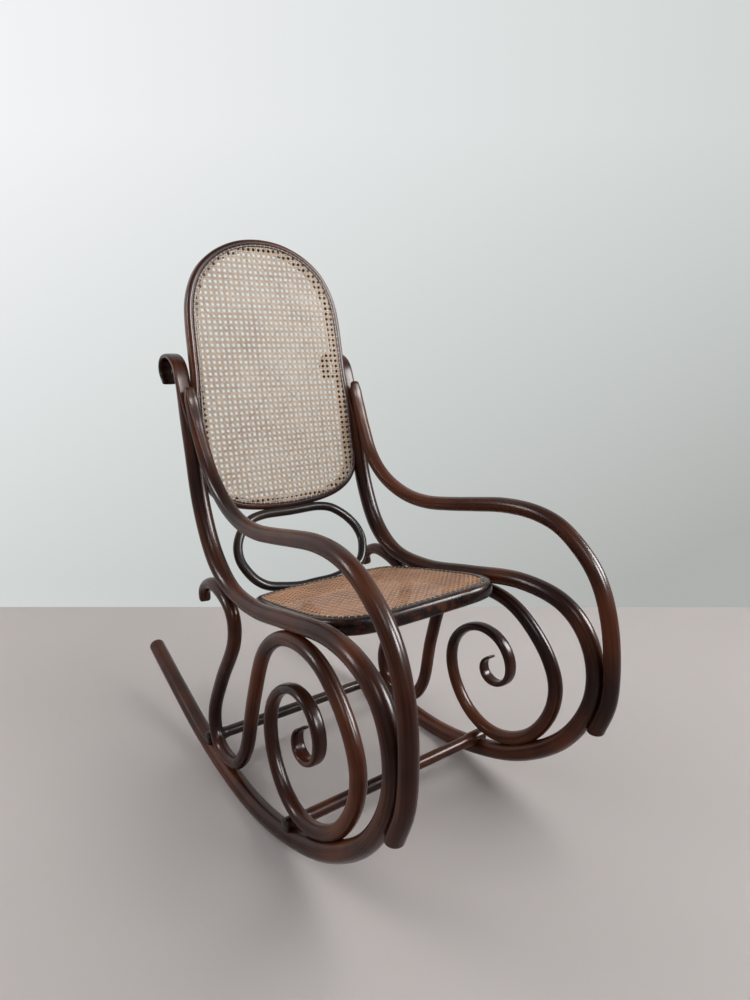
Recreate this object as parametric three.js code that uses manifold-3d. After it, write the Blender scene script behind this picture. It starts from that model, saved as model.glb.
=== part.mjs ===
import * as THREE from 'three';
import { mergeVertices } from 'three/addons/utils/BufferGeometryUtils.js';
import Module from 'manifold-3d';

const wasm = await Module();
wasm.setup();

// Overall sizes of the rocking chair, in millimetres, to which the shares below refer.
// X runs across the chair, the sitter looks along -Y, Z is up, and the runners rest on Z = 0
// at the middle of the chair's length and width.
const DEPTH = 992;
const HEIGHT = 1099;
const SEAT_WIDTH = 386;
// Each runner's centre line stands this far outside the seat
const RUNNER_OUTSIDE_SEAT = 36;
// The back is as wide as the seat, and the oval ring is narrower by this much
const OVAL_NARROWER = 82;
const LEAN_IN_FRONT = 12.4;
const LEAN_IN_BACK = 29.8;
const TUCK = 4;

// Thickness of the bent rods
const UPRIGHT = 36.4;
const RAIL = 31.6;
const FRONT_LOOP = 32.4;
const RUNNER = 35.6;
const SCROLL_THICK = 10.4;
const SCROLL_WIDE = 31;
const ARM = 28.6;
const ARM_TIP = 22;
const LEG = 27;
const CURL = 24;
const CURL_TIP = 8;
const OVAL_ROD = 20;
const STRETCHER = 23.4;
const STRETCHER_END = 28;
const STRETCHER_END_LONG = 46;
const STRETCHER_PROUD = 13;
const STRETCHER_SET_IN = 9;

// Back panel: rim, cane and binder
const BACK_HEIGHT = 581;
const BACK_RIM_WIDE = 24;
const BACK_RIM_DEEP = 26;
// How far its face stands in front of the uprights' centre lines, high and low
const BACK_AHEAD_HIGH = 16.7;
const BACK_AHEAD_LOW = 8.1;

// Seat: rim, cane and binder
const SEAT_LENGTH = 383.5;
const SEAT_RIM_WIDE = 28;
const SEAT_RIM_DEEP = 28.5;
// How far its face stands above the rails' centre lines, front and rear
const SEAT_RISE_FRONT = 12;
const SEAT_RISE_REAR = 2.6;

// Cane, binder and joint details
const CANE_THICK = 1.6;
// Openings across and along each cane, and the open share of a square's side
const BACK_OPENINGS = [8, 12];
const SEAT_OPENINGS = [8, 8];
const OPEN_SHARE = 0.56;
const REBATE = 2.4;
const BINDER_WIDE = 4.8;
const BINDER_HIGH = 2;
const SCREW_HEAD = 9;
const SCREW_SHANK = 4.6;
const SCREW_SINK = 3;
const GAP = 0.3;
const REST_CUT = 2.4;

// The origin as a share of the depth, and the rail as a share of the height
const ORIGIN_SHARE = 0.5206;
const RAIL_SHARE = 0.406;

const HALF_TRACK = SEAT_WIDTH / 2 + RUNNER_OUTSIDE_SEAT;
const BACK_WIDTH = SEAT_WIDTH;
const OVAL_WIDTH = SEAT_WIDTH - OVAL_NARROWER;

// Side frame, one rod from the top scroll down the upright, along the rail, round the front
// and back along the runner: shares of the depth and of the height, then the share of the tuck
const SIDE_SHARES = [
  [0.859, 0.727], [0.8755, 0.7415], [0.88, 0.7587], [0.8705, 0.773], [0.847, 0.7797],
  [0.8165, 0.777], [0.7925, 0.7625], [0.78, 0.738], [0.768, 0.7015], [0.744, 0.625],
  [0.712, 0.507], [0.658, 0.421, 0.4], [0.589, 0.381, 1], [0.479, 0.373, 1],
  [0.347, 0.392, 1], [0.214, 0.41, 0.7], [0.124, 0.398], [0.077, 0.367], [0.05, 0.316],
  [0.051, 0.249], [0.102, 0.161], [0.206, 0.084], [0.329, 0.039], [0.461, 0.0185],
  [0.595, 0.0234], [0.727, 0.0433], [0.855, 0.0755], [0.98, 0.1095], [1.0337, 0.1245],
];

// Arm, from its top end on the upright to its lower end on the front of the side frame
const ARM_SHARES = [
  [0.7485, 0.7245, 0.3], [0.7365, 0.69, 0.6], [0.7105, 0.635, 1], [0.678, 0.581, 1.8],
  [0.6425, 0.548, 2.2],
  [0.601, 0.525, 2.2], [0.539, 0.508, 2.2], [0.474, 0.505, 2.2], [0.404, 0.513, 2.1],
  [0.333, 0.524, 1.8], [0.26, 0.534, 1.2], [0.191, 0.5335, 0.5], [0.139, 0.521],
  [0.097, 0.496], [0.0635, 0.466], [0.041, 0.431], [0.0235, 0.377], [0.016, 0.31],
  [0.0195, 0.255], [0.041, 0.199],
];

// Scrolled leg, from its rear curl over the runner to the end of its front curl
const LEG_SHARES = [
  [0.7085, 0.3215], [0.7145, 0.34], [0.7065, 0.351], [0.692, 0.36], [0.661, 0.368],
  [0.598, 0.3555], [0.57, 0.337], [0.56, 0.315], [0.564, 0.282], [0.62, 0.195],
  [0.657, 0.12], [0.655, 0.083], [0.64, 0.062], [0.616, 0.051], [0.58, 0.05],
  [0.541, 0.063], [0.505, 0.106], [0.473, 0.217], [0.432, 0.313], [0.377, 0.355],
  [0.304, 0.371], [0.23, 0.358], [0.157, 0.302], [0.13, 0.249], [0.137, 0.195],
  [0.18, 0.133], [0.243, 0.096], [0.299, 0.089], [0.351, 0.107], [0.391, 0.149],
  [0.406, 0.198], [0.396, 0.241], [0.364, 0.275], [0.322, 0.292], [0.284, 0.29],
  [0.257, 0.276], [0.241, 0.254], [0.238, 0.23], [0.246, 0.211], [0.261, 0.199],
  [0.278, 0.194], [0.294, 0.196], [0.305, 0.203], [0.31, 0.214], [0.309, 0.225],
  [0.304, 0.233], [0.297, 0.239], [0.289, 0.242],
];

// Thickness along each rod: share of its length, thickness in its plane, thickness across
const SIDE_SIZES = [
  [0, 0.8 * SCROLL_THICK, 0.94 * SCROLL_WIDE], [0.015, SCROLL_THICK, SCROLL_WIDE],
  [0.075, SCROLL_THICK, SCROLL_WIDE], [0.13, UPRIGHT, UPRIGHT], [0.23, UPRIGHT, UPRIGHT],
  [0.28, RAIL, RAIL], [0.4, RAIL, RAIL], [0.46, FRONT_LOOP, FRONT_LOOP],
  [0.56, FRONT_LOOP, FRONT_LOOP], [0.66, RUNNER, RUNNER], [1, RUNNER, RUNNER],
];
const ARM_SIZES = [
  [0, 0.55 * ARM_TIP, 0.9 * ARM_TIP], [0.025, 0.8 * ARM_TIP, 0.95 * ARM], [0.07, 1.12 * ARM_TIP, ARM],
  [0.13, ARM, ARM], [1, ARM, ARM],
];
const LEG_SIZES = [
  [0, 0.8 * CURL, CURL], [0.015, CURL, CURL], [0.05, LEG, LEG], [0.7, LEG, LEG],
  [0.8, 0.85 * LEG, LEG], [0.9, 0.68 * LEG, 1.03 * LEG], [0.965, 0.5 * LEG, 1.03 * LEG],
  [1, CURL_TIP, 0.9 * LEG],
];

// Right halves of the closed outlines, from the top or the front: shares of the half width
// and of the height or length
const BACK_SHARES = [
  [0, 0.58], [0.144, 0.577], [0.284, 0.568], [0.425, 0.551], [0.566, 0.526], [0.706, 0.489],
  [0.798, 0.452], [0.876, 0.402], [0.93, 0.342], [0.953, 0.272], [0.962, 0.169], [0.968, 0.083],
  [0.986, -0.005], [0.996, -0.094], [1, -0.182], [0.995, -0.253], [0.957, -0.315], [0.862, -0.359],
  [0.718, -0.39], [0.548, -0.409], [0.324, -0.421], [0, -0.427],
];
const SEAT_SHARES = [
  [0, 0], [0.4, 0.003], [0.6, 0.013], [0.74, 0.039], [0.85, 0.086], [0.93, 0.152],
  [0.98, 0.232], [1, 0.31], [1, 0.38], [0.99, 0.519], [0.969, 0.652], [0.948, 0.758], [0.926, 0.837],
  [0.884, 0.903], [0.803, 0.95], [0.689, 0.971], [0.466, 0.987], [0.233, 0.997], [0, 1],
];
const OVAL_SHARES = [
  [0, 0], [0.263, 0], [0.559, 0.046], [0.737, 0.093], [0.868, 0.187], [0.954, 0.32],
  [1, 0.46], [0.98, 0.623], [0.888, 0.781], [0.757, 0.903], [0.651, 0.964], [0.447, 1.003],
  [0.164, 1.003], [0, 1],
];

// Sections of the two rims: share of the width inwards and of the depth from the face.
// Each has a step for the cane, and the step's depth is the rebate.
const RIM_SHARES = [
  [0, 0.3], [0.07, 0.09], [0.25, 0], [0.5, 0], [0.5, 'rebate'], [1, 'rebate'],
  [1, 0.78], [0.88, 0.95], [0.7, 1], [0.28, 1], [0.08, 0.92], [0, 0.72],
];

const DARK = { color: 0x4a1a10, roughness: 0.22, metalness: 0 };
const BACK_CANE = { color: 0xb99b6b, roughness: 0.55, metalness: 0 };
const SEAT_CANE = { color: 0x8a5428, roughness: 0.5, metalness: 0 };
const STEEL = { color: 0x2a2622, roughness: 0.4, metalness: 0.9 };

// A closed surface through a row of rings, all with the same number of points.
// The row joins its own start, or both ends are closed by a fan.
function skin(rings, joined) {
  const count = rings[0].length;
  const points = rings.flat();
  const index = [];
  const rows = joined ? rings.length : rings.length - 1;
  for (let i = 0; i < rows; i++) {
    const here = i * count;
    const next = ((i + 1) % rings.length) * count;
    for (let j = 0; j < count; j++) {
      const k = (j + 1) % count;
      index.push(here + j, next + j, next + k, here + j, next + k, here + k);
    }
  }
  if (!joined) {
    for (const [ring, start, turn] of [[rings[0], 0, 0], [rings.at(-1), points.length - count, 1]]) {
      const middle = ring.reduce((sum, p) => sum.add(p), new THREE.Vector3()).divideScalar(count);
      points.push(middle);
      for (let j = 0; j < count; j++) {
        const k = (j + 1) % count;
        index.push(points.length - 1, start + (turn ? k : j), start + (turn ? j : k));
      }
    }
  }
  const geometry = new THREE.BufferGeometry().setFromPoints(points);
  geometry.setIndex(index);
  return outward(geometry);
}

// Turns the faces round if they point into the body
function outward(geometry) {
  const at = geometry.attributes.position;
  const index = [...geometry.index.array];
  const corner = (i) => new THREE.Vector3().fromBufferAttribute(at, index[i]);
  let volume = 0;
  for (let i = 0; i < index.length; i += 3) {
    volume += corner(i).dot(corner(i + 1).cross(corner(i + 2)));
  }
  geometry.setIndex(volume < 0 ? index.reverse() : index);
  return geometry;
}

function plain(geometry) {
  const copy = geometry.clone();
  copy.deleteAttribute('normal');
  copy.deleteAttribute('uv');
  return mergeVertices(copy, 1e-4);
}

// A body's surface moved out by the gap between touching pieces
function grown(geometry) {
  const copy = plain(geometry);
  copy.computeVertexNormals();
  const at = copy.attributes.position;
  const normal = copy.attributes.normal;
  for (let i = 0; i < at.count; i++) {
    const p = new THREE.Vector3().fromBufferAttribute(at, i);
    const n = new THREE.Vector3().fromBufferAttribute(normal, i);
    p.addScaledVector(n, 1.3 * GAP);
    at.setXYZ(i, p.x, p.y, p.z);
  }
  return copy;
}

function toSolid(geometry) {
  const { attributes, index } = plain(geometry);
  return new wasm.Manifold(new wasm.Mesh({
    numProp: 3,
    vertProperties: Float32Array.from(attributes.position.array),
    triVerts: Uint32Array.from(index.array),
  }));
}

function fromSolid(solid) {
  const { vertProperties, triVerts } = solid.getMesh();
  const geometry = new THREE.BufferGeometry();
  geometry.setAttribute('position', new THREE.BufferAttribute(Float32Array.from(vertProperties), 3));
  geometry.setIndex([...triVerts]);
  geometry.computeVertexNormals();
  return geometry;
}

const chair = new THREE.Group();
const back = new THREE.Group();
const seat = new THREE.Group();
const oval = new THREE.Group();
chair.add(back, seat, oval);

function piece(name, geometry, finish, parent = chair) {
  const mesh = new THREE.Mesh(geometry, new THREE.MeshStandardMaterial(finish));
  mesh.name = name;
  parent.add(mesh);
  mesh.updateWorldMatrix(true, false);
  return mesh;
}

// Cuts away what bodies in chair space take from a piece
function cut(mesh, geometries) {
  const home = mesh.matrixWorld.clone().invert();
  let solid = toSolid(mesh.geometry);
  for (const geometry of geometries) {
    solid = solid.subtract(toSolid(geometry.clone().applyMatrix4(home)));
  }
  mesh.geometry = fromSolid(solid);
}

// Seats a piece on its neighbours: it loses what would overlap them
function seatOn(mesh, ...neighbours) {
  cut(mesh, neighbours.map((other) => grown(other.geometry).applyMatrix4(other.matrixWorld)));
}

function thickness(sizes, share) {
  const next = Math.max(1, sizes.findIndex(([s]) => s >= share));
  const [from, a, b] = sizes[next - 1];
  const [to, c, d] = sizes[next];
  const f = THREE.MathUtils.smoothstep(share, from, to);
  return [a + (c - a) * f, b + (d - b) * f];
}

// A bent rod of one side of the chair: its centre line and its thickness along it
function bend(shares, sizes, side) {
  const points = shares.map(([y, z, tuck = 0]) => {
    const climb = Math.min(z, RAIL_SHARE) / RAIL_SHARE;
    const lean = climb * (LEAN_IN_FRONT + (LEAN_IN_BACK - LEAN_IN_FRONT) * y);
    return new THREE.Vector3(side * (HALF_TRACK - lean - tuck * TUCK), (y - ORIGIN_SHARE) * DEPTH,
      z * HEIGHT - drop);
  });
  const curve = new THREE.CatmullRomCurve3(points, false, 'centripetal');
  const spans = points.length - 1;
  const steps = 20;
  const lengths = curve.getLengths(spans * steps);
  // The place at a point's number along the rod, where a fraction lies between two points
  const at = (number) => {
    const t = number / spans;
    const share = lengths[Math.round(number * steps)] / lengths.at(-1);
    const [thick, wide] = thickness(sizes, share);
    const along = curve.getTangent(t);
    const across = new THREE.Vector3(1, 0, 0).addScaledVector(along, -along.x).normalize();
    const out = along.clone().cross(across);
    return { centre: curve.getPoint(t), along, across, out, thick, wide };
  };
  return { at, spans };
}

let drop = 0;
const lowest = bend(SIDE_SHARES, SIDE_SIZES, 1);
const heights = Array.from({ length: lowest.spans * 20 + 1 }, (_, i) => lowest.at(i / 20).centre.z);
drop = Math.min(...heights) - RUNNER / 2 + REST_CUT;

// A rod's surface with softly rounded ends, the last one square to the rod or level
function rod({ at, spans }, perSpan, sides, levelEnd = false) {
  const ring = (number, scale, shift) => {
    const { centre, along, across, out, thick, wide } = at(number);
    const middle = centre.clone().addScaledVector(along, shift * thick);
    return Array.from({ length: sides }, (_, j) => {
      const angle = (2 * Math.PI * j) / sides;
      const p = middle.clone().addScaledVector(out, scale * (thick / 2) * Math.cos(angle))
        .addScaledVector(across, scale * (wide / 2) * Math.sin(angle));
      // A level end: its points slide along the rod to the height of its middle
      const level = levelEnd && number === spans;
      return level ? p.addScaledVector(along, (middle.z - p.z) / along.z) : p;
    });
  };
  const count = spans * perSpan;
  const rings = [ring(0, 0.66, 0), ring(0, 0.93, 0.12)];
  for (let i = 1; i < count; i++) rings.push(ring(i / perSpan, 1, 0));
  rings.push(ring(spans, 0.93, -0.12), ring(spans, 0.66, 0));
  return skin(rings, false);
}

// A closed outline from its right half, turned into evenly used points
function outline(shares, halfWidth, height) {
  const half = shares.map(([x, y]) => new THREE.Vector3(x * halfWidth, y * height, 0));
  const other = half.slice(1, -1).reverse().map((p) => new THREE.Vector3(-p.x, p.y, 0));
  const curve = new THREE.CatmullRomCurve3([...half, ...other], true, 'centripetal');
  return curve;
}

// The same outline drawn inwards by a width, as a list of points
function drawnIn(curve, count, width) {
  const middle = curve.getPoints(count - 1).reduce((s, p) => s.add(p), new THREE.Vector3());
  middle.divideScalar(count);
  return Array.from({ length: count }, (_, i) => {
    const p = curve.getPointAt(i / count);
    const along = curve.getTangentAt(i / count);
    const inward = new THREE.Vector3(-along.y, along.x, 0);
    if (inward.dot(middle.clone().sub(p)) < 0) inward.negate();
    return p.addScaledVector(inward, width);
  });
}

// A rim round an outline, its face at Z = 0 of its own group
function rim(curve, count, wide, deep) {
  const section = RIM_SHARES.map(([x, y]) => [x * wide, y === 'rebate' ? REBATE : y * deep]);
  const loops = section.map(([inward, depth]) =>
    drawnIn(curve, count, inward).map((p) => p.setZ(-depth)));
  return skin(Array.from({ length: count }, (_, i) => loops.map((loop) => loop[i])), true);
}

// The bead that holds the cane down along its edge
function binder(curve, count, inward) {
  const section = [[0, 0], [0.06, 0.6], [0.5, 1], [0.94, 0.6], [1, 0]];
  const loops = section.map(([x, y]) => drawnIn(curve, count, inward + x * BINDER_WIDE)
    .map((p) => p.setZ(-REBATE + CANE_THICK + 2 * GAP + y * BINDER_HIGH)));
  return skin(Array.from({ length: count }, (_, i) => loops.map((loop) => loop[i])), true);
}

// True for a point inside a closed row of points
function inside(p, loop) {
  let odd = false;
  loop.forEach((a, i) => {
    const b = loop[(i + 1) % loop.length];
    const spans = (a.y > p.y) !== (b.y > p.y);
    if (spans && p.x < a.x + ((p.y - a.y) / (b.y - a.y)) * (b.x - a.x)) odd = !odd;
  });
  return odd;
}

// The cane as a thin plate with a grid of square openings inside the rim
function canePlate(curve, count, rimWide, [columns, rows]) {
  const flat = (p) => new THREE.Vector2(p.x, p.y);
  const shape = new THREE.Shape(drawnIn(curve, count, rimWide / 2 + GAP).map(flat));
  let plate = toSolid(new THREE.ExtrudeGeometry(shape, { depth: CANE_THICK, bevelEnabled: false }));
  const edge = drawnIn(curve, count, rimWide).map(flat);
  const { min, max } = new THREE.Box2().setFromPoints(edge);
  const cell = max.clone().sub(min).divide(new THREE.Vector2(columns, rows));
  const open = cell.clone().multiplyScalar(OPEN_SHARE);
  for (let i = 0; i < columns * rows; i++) {
    const middle = new THREE.Vector2((i % columns) + 1 / 2, Math.floor(i / columns) + 1 / 2)
      .multiply(cell).add(min);
    const hole = new THREE.BoxGeometry(open.x, open.y, 3 * CANE_THICK).translate(middle.x, middle.y, 0);
    const corners = [[-1, -1], [1, -1], [1, 1], [-1, 1]].map(([x, y]) =>
      new THREE.Vector2(x, y).multiply(open).divideScalar(2).add(middle));
    if (corners.every((p) => inside(p, edge))) plate = plate.subtract(toSolid(hole));
  }
  return fromSolid(plate).translate(0, 0, -REBATE + GAP);
}

// A closed round rod along an outline
function hoop(curve, count, thick, sides) {
  const rings = Array.from({ length: count }, (_, i) => {
    const centre = curve.getPointAt(i / count);
    const along = curve.getTangentAt(i / count);
    const out = new THREE.Vector3(along.y, -along.x, 0);
    return Array.from({ length: sides }, (_, j) => {
      const angle = (2 * Math.PI * j) / sides;
      return centre.clone().addScaledVector(out, (thick / 2) * Math.cos(angle))
        .setZ((thick / 2) * Math.sin(angle));
    });
  });
  return skin(rings, true);
}

const bends = {};
const meshes = {};
for (const [name, side] of [['right', -1], ['left', 1]]) {
  const frame = bend(SIDE_SHARES, SIDE_SIZES, side);
  const arm = bend(ARM_SHARES, ARM_SIZES, side);
  const leg = bend(LEG_SHARES, LEG_SIZES, side);
  bends[name] = { frame, arm, leg };
  meshes[name] = {
    frame: piece(`side_frame_${name}`, rod(frame, 3, 16), DARK),
    arm: piece(`arm_${name}`, rod(arm, 2, 12, true), DARK),
    leg: piece(`leg_scroll_${name}`, rod(leg, 2, 8), DARK),
  };
}
const sideFrames = [meshes.right.frame, meshes.left.frame];

// The runners are planed flat where they rest
const floor = new THREE.BoxGeometry(4 * HALF_TRACK, DEPTH, 2 * RUNNER).translate(0, 0, -RUNNER);
for (const frame of sideFrames) cut(frame, [floor]);

// A group stands at one point of the chair's middle plane, and its own Y points to another
function place(group, from, to) {
  group.position.copy(from);
  group.rotation.x = Math.atan2(to.z - from.z, to.y - from.y);
  group.updateWorldMatrix(true, true);
}
const middle = (number, ahead, rise) => {
  const { centre } = bends.left.frame.at(number);
  return new THREE.Vector3(0, centre.y - ahead, centre.z + rise);
};

// The back stands between the uprights, its own Y up
place(back, middle(9, BACK_AHEAD_LOW, 0), middle(8, BACK_AHEAD_HIGH, 0));
back.position.copy(middle(8, BACK_AHEAD_HIGH, 0));
back.updateWorldMatrix(true, true);
const backOutline = outline(BACK_SHARES, BACK_WIDTH / 2, BACK_HEIGHT);
const backRim = piece('back_frame', rim(backOutline, 44, BACK_RIM_WIDE, BACK_RIM_DEEP), DARK, back);
piece('back_cane', canePlate(backOutline, 44, BACK_RIM_WIDE, BACK_OPENINGS), BACK_CANE, back);
piece('back_binder', binder(backOutline, 44, BACK_RIM_WIDE / 2 + GAP), BACK_CANE, back);

// The seat lies between the rails, its own Y to the rear
place(seat, middle(15, 0, SEAT_RISE_FRONT), middle(13, 0, SEAT_RISE_REAR));
const seatOutline = outline(SEAT_SHARES, SEAT_WIDTH / 2, SEAT_LENGTH);
const seatRim = piece('seat_frame', rim(seatOutline, 40, SEAT_RIM_WIDE, SEAT_RIM_DEEP), DARK, seat);
piece('seat_cane', canePlate(seatOutline, 40, SEAT_RIM_WIDE, SEAT_OPENINGS), SEAT_CANE, seat);
piece('seat_binder', binder(seatOutline, 40, SEAT_RIM_WIDE / 2 + GAP), SEAT_CANE, seat);

// The oval ring reaches from the seat's rear edge to the back's lower edge
const backLow = BACK_SHARES.at(-1)[1] * BACK_HEIGHT;
const ovalLow = new THREE.Vector3(0, SEAT_LENGTH + 0.48 * OVAL_ROD, -0.24 * SEAT_RIM_DEEP)
  .applyMatrix4(seat.matrixWorld);
const ovalHigh = new THREE.Vector3(0, backLow - 0.34 * OVAL_ROD, -0.13 * OVAL_ROD)
  .applyMatrix4(back.matrixWorld);
place(oval, ovalLow, ovalHigh);
const ovalHeight = ovalLow.distanceTo(ovalHigh);
const ovalOutline = outline(OVAL_SHARES, OVAL_WIDTH / 2, ovalHeight);
const ovalRing = piece('back_ring', hoop(ovalOutline, 32, OVAL_ROD, 8), DARK, oval);
seatOn(backRim, ...sideFrames);
seatOn(seatRim, ...sideFrames);
seatOn(ovalRing, backRim, seatRim);

// The place on a runner at a share of the depth
function onRunner(frame, y) {
  let best = frame.at(20);
  for (let number = 20; number <= frame.spans; number += 0.01) {
    const here = frame.at(number);
    const off = (spot) => Math.abs(spot.centre.y - (y - ORIGIN_SHARE) * DEPTH);
    if (off(here) < off(best)) best = here;
  }
  return best;
}

// Stretchers across the two runners, let into them a little: share of the depth
const stretchers = [['front_stretcher', 0.3275], ['rear_stretcher', 0.672]].map(([name, y]) => {
  const under = onRunner(bends.left.frame, y);
  const length = 2 * (under.centre.x + STRETCHER_PROUD);
  const end = length / 2 - STRETCHER_END_LONG;
  const half = [[STRETCHER / 2, end - STRETCHER / 2], [STRETCHER_END / 2, end],
    [STRETCHER_END / 2, length / 2], [0, length / 2]];
  const profile = [...half.map(([x, y]) => [x, -y]).reverse(), ...half];
  const shape = new THREE.LatheGeometry(profile.map(([x, y]) => new THREE.Vector2(x, y)), 12);
  const bar = piece(name, outward(plain(shape)).rotateZ(Math.PI / 2), DARK);
  bar.position.set(0, under.centre.y,
    under.centre.z + (under.thick + STRETCHER_END) / 2 - STRETCHER_SET_IN);
  bar.updateWorldMatrix(true, false);
  seatOn(bar, ...sideFrames);
  return bar;
});

for (const { frame, arm, leg } of [meshes.right, meshes.left]) {
  seatOn(arm, frame);
  seatOn(leg, frame, ...stretchers);
}

// A wood screw from a place on a surface, sunk below it, and its holes in the pieces it joins
function screw(name, start, end, pieces) {
  const length = start.distanceTo(end);
  const turned = (profile) => {
    const shape = new THREE.LatheGeometry(profile.map(([x, y]) => new THREE.Vector2(x, y)), 6);
    const along = end.clone().sub(start).normalize();
    shape.applyQuaternion(new THREE.Quaternion().setFromUnitVectors(new THREE.Vector3(0, 1, 0), along));
    return outward(plain(shape.translate(start.x, start.y, start.z)));
  };
  const head = SCREW_HEAD / 2;
  const shank = SCREW_SHANK / 2;
  const profile = [[0, 0], [head, 0], [shank, head - shank], [shank, length - shank], [0, length]];
  piece(name, turned(profile), STEEL);
  const hole = turned([[0, -UPRIGHT], [head + GAP, -UPRIGHT], [head + GAP, GAP],
    [shank + GAP, head - shank + GAP], [shank + GAP, length], [0, length + 2 * GAP]]);
  for (const mesh of pieces) cut(mesh, [hole]);
}

// From the far side of one rod into the next one
function between(name, first, second, pieces) {
  const along = second.centre.clone().sub(first.centre).normalize();
  const start = first.centre.clone().addScaledVector(along, SCREW_SINK - first.thick / 2);
  screw(name, start, second.centre.clone().addScaledVector(along, second.thick / 6), pieces);
}

for (const name of ['right', 'left']) {
  const { frame, arm, leg } = bends[name];
  const m = meshes[name];
  between(`screw_arm_top_${name}`, frame.at(8.35), arm.at(1.25), [m.frame, m.arm]);
  between(`screw_arm_low_${name}`, frame.at(18.65), arm.at(17.75), [m.frame, m.arm]);
  between(`screw_leg_runner_${name}`, frame.at(24.15), leg.at(13.4), [m.frame, m.leg]);
  between(`screw_loop_runner_${name}`, frame.at(20.9), leg.at(25.5), [m.frame, m.leg]);
  between(`screw_arc_rail_${name}`, leg.at(19.7), frame.at(14.1), [m.leg, m.frame]);
  between(`screw_curl_rail_${name}`, leg.at(5), frame.at(12.1), [m.leg, m.frame]);
  // Through the upright into the back's rim and through the rail into the seat's rim
  for (const [what, number, target, half, wide, deep] of [
    ['back_top', 8.7, backRim, BACK_WIDTH / 2, BACK_RIM_WIDE, BACK_RIM_DEEP],
    ['back_low', 9.15, backRim, BACK_WIDTH / 2, BACK_RIM_WIDE, BACK_RIM_DEEP],
    ['seat_rear', 13.3, seatRim, SEAT_WIDTH / 2, SEAT_RIM_WIDE, SEAT_RIM_DEEP],
    ['seat_front', 14.35, seatRim, SEAT_WIDTH / 2, SEAT_RIM_WIDE, SEAT_RIM_DEEP]]) {
    const rail = frame.at(number);
    const side = Math.sign(rail.centre.x);
    const end = target.worldToLocal(rail.centre.clone());
    end.setX(side * (half - 0.62 * wide)).setZ(-0.46 * deep);
    target.localToWorld(end);
    const along = end.clone().sub(rail.centre).normalize();
    const start = rail.centre.clone().addScaledVector(along, SCREW_SINK - rail.wide / 2);
    screw(`screw_${what}_${name}`, start, end, [m.frame, target]);
  }
}

// Through the oval ring into the back's rim and into the seat's rim
for (const [name, y, target, mesh] of [
  ['screw_oval_back', ovalHeight, [backLow + 0.6 * BACK_RIM_WIDE, -BACK_RIM_DEEP / 2], backRim],
  ['screw_oval_seat', 0, [SEAT_LENGTH - 0.6 * SEAT_RIM_WIDE, -SEAT_RIM_DEEP / 2], seatRim]]) {
  const from = ovalRing.localToWorld(new THREE.Vector3(0, y, 0));
  const end = mesh.localToWorld(new THREE.Vector3(0, ...target));
  const start = from.clone().addScaledVector(end.clone().sub(from).normalize(),
    SCREW_SINK - OVAL_ROD / 2);
  screw(name, start, end, [ovalRing, mesh]);
}

// Up through the runners into the stretchers
for (const [bar, y, what] of [[stretchers[0], 0.3275, 'front'], [stretchers[1], 0.672, 'rear']]) {
  for (const name of ['right', 'left']) {
    const { centre, thick } = onRunner(bends[name].frame, y);
    const start = centre.clone().setZ(centre.z - thick / 2 + SCREW_SINK);
    const end = centre.clone().setZ(bar.position.z + STRETCHER / 6);
    screw(`screw_${what}_stretcher_${name}`, start, end, [meshes[name].frame, bar]);
  }
}

export default chair;
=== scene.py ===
# %% [markdown]
# # A bentwood rocking chair with a cane seat and back
#
# The real chair is made of long beech rods, steamed and bent round forms, then lacquered a dark
# red-brown. Two frames, the seat and the back, carry a woven cane mesh. This file rebuilds what
# the eye sees: round rods with real curves, a cane mesh made strand by strand, and materials
# built from nodes. All lengths are in metres, as Blender counts them.

# %% [markdown]
# ## Start from the measured solids
#
# The chair's solids come in first, each under its own name. They fix the size and the place of
# every piece. The new pieces below are built in the same frame, and each then stands in for the
# solid of the same part.

# %% Load the solids
import bmesh
import bpy
import numpy as np
from mathutils import Matrix, Vector


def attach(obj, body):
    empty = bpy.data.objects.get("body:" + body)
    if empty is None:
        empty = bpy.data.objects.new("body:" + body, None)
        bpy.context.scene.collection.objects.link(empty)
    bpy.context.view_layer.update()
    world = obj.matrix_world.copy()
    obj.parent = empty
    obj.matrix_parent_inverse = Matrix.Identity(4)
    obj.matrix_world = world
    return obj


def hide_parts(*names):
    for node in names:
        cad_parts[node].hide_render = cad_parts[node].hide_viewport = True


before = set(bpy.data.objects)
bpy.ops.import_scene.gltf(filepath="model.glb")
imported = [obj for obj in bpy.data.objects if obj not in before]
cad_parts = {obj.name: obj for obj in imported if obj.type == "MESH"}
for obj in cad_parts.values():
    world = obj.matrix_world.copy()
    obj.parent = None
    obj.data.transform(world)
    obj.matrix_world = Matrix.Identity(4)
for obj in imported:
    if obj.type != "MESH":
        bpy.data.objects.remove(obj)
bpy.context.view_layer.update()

# %% [markdown]
# ## The chair's sizes
#
# A chair maker works from a few sizes: how deep and high the chair is, how wide the seat is, and
# how thick each rod is. The curves are then given as shares of these sizes, so one number makes
# the whole chair deeper or wider.

# %% Sizes in metres
# The whole chair, half the distance between its runners, and its flat pieces
DEPTH, HEIGHT, SEAT_WIDTH = 0.992, 1.099, 0.386
HALF_TRACK = SEAT_WIDTH / 2 + 0.036
BACK_WIDTH, RING_WIDTH = SEAT_WIDTH, SEAT_WIDTH - 0.082
BACK_HEIGHT, SEAT_LENGTH = 0.581, 0.3835
# How far the side frames lean in, and how far one tuck moves a rod inwards
LEAN_IN_FRONT, LEAN_IN_BACK, TUCK = 0.0124, 0.0298, 0.004
# Where the origin lies in the depth, and where the seat's rail lies in the height
ORIGIN_SHARE, RAIL_SHARE = 0.5206, 0.406
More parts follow.
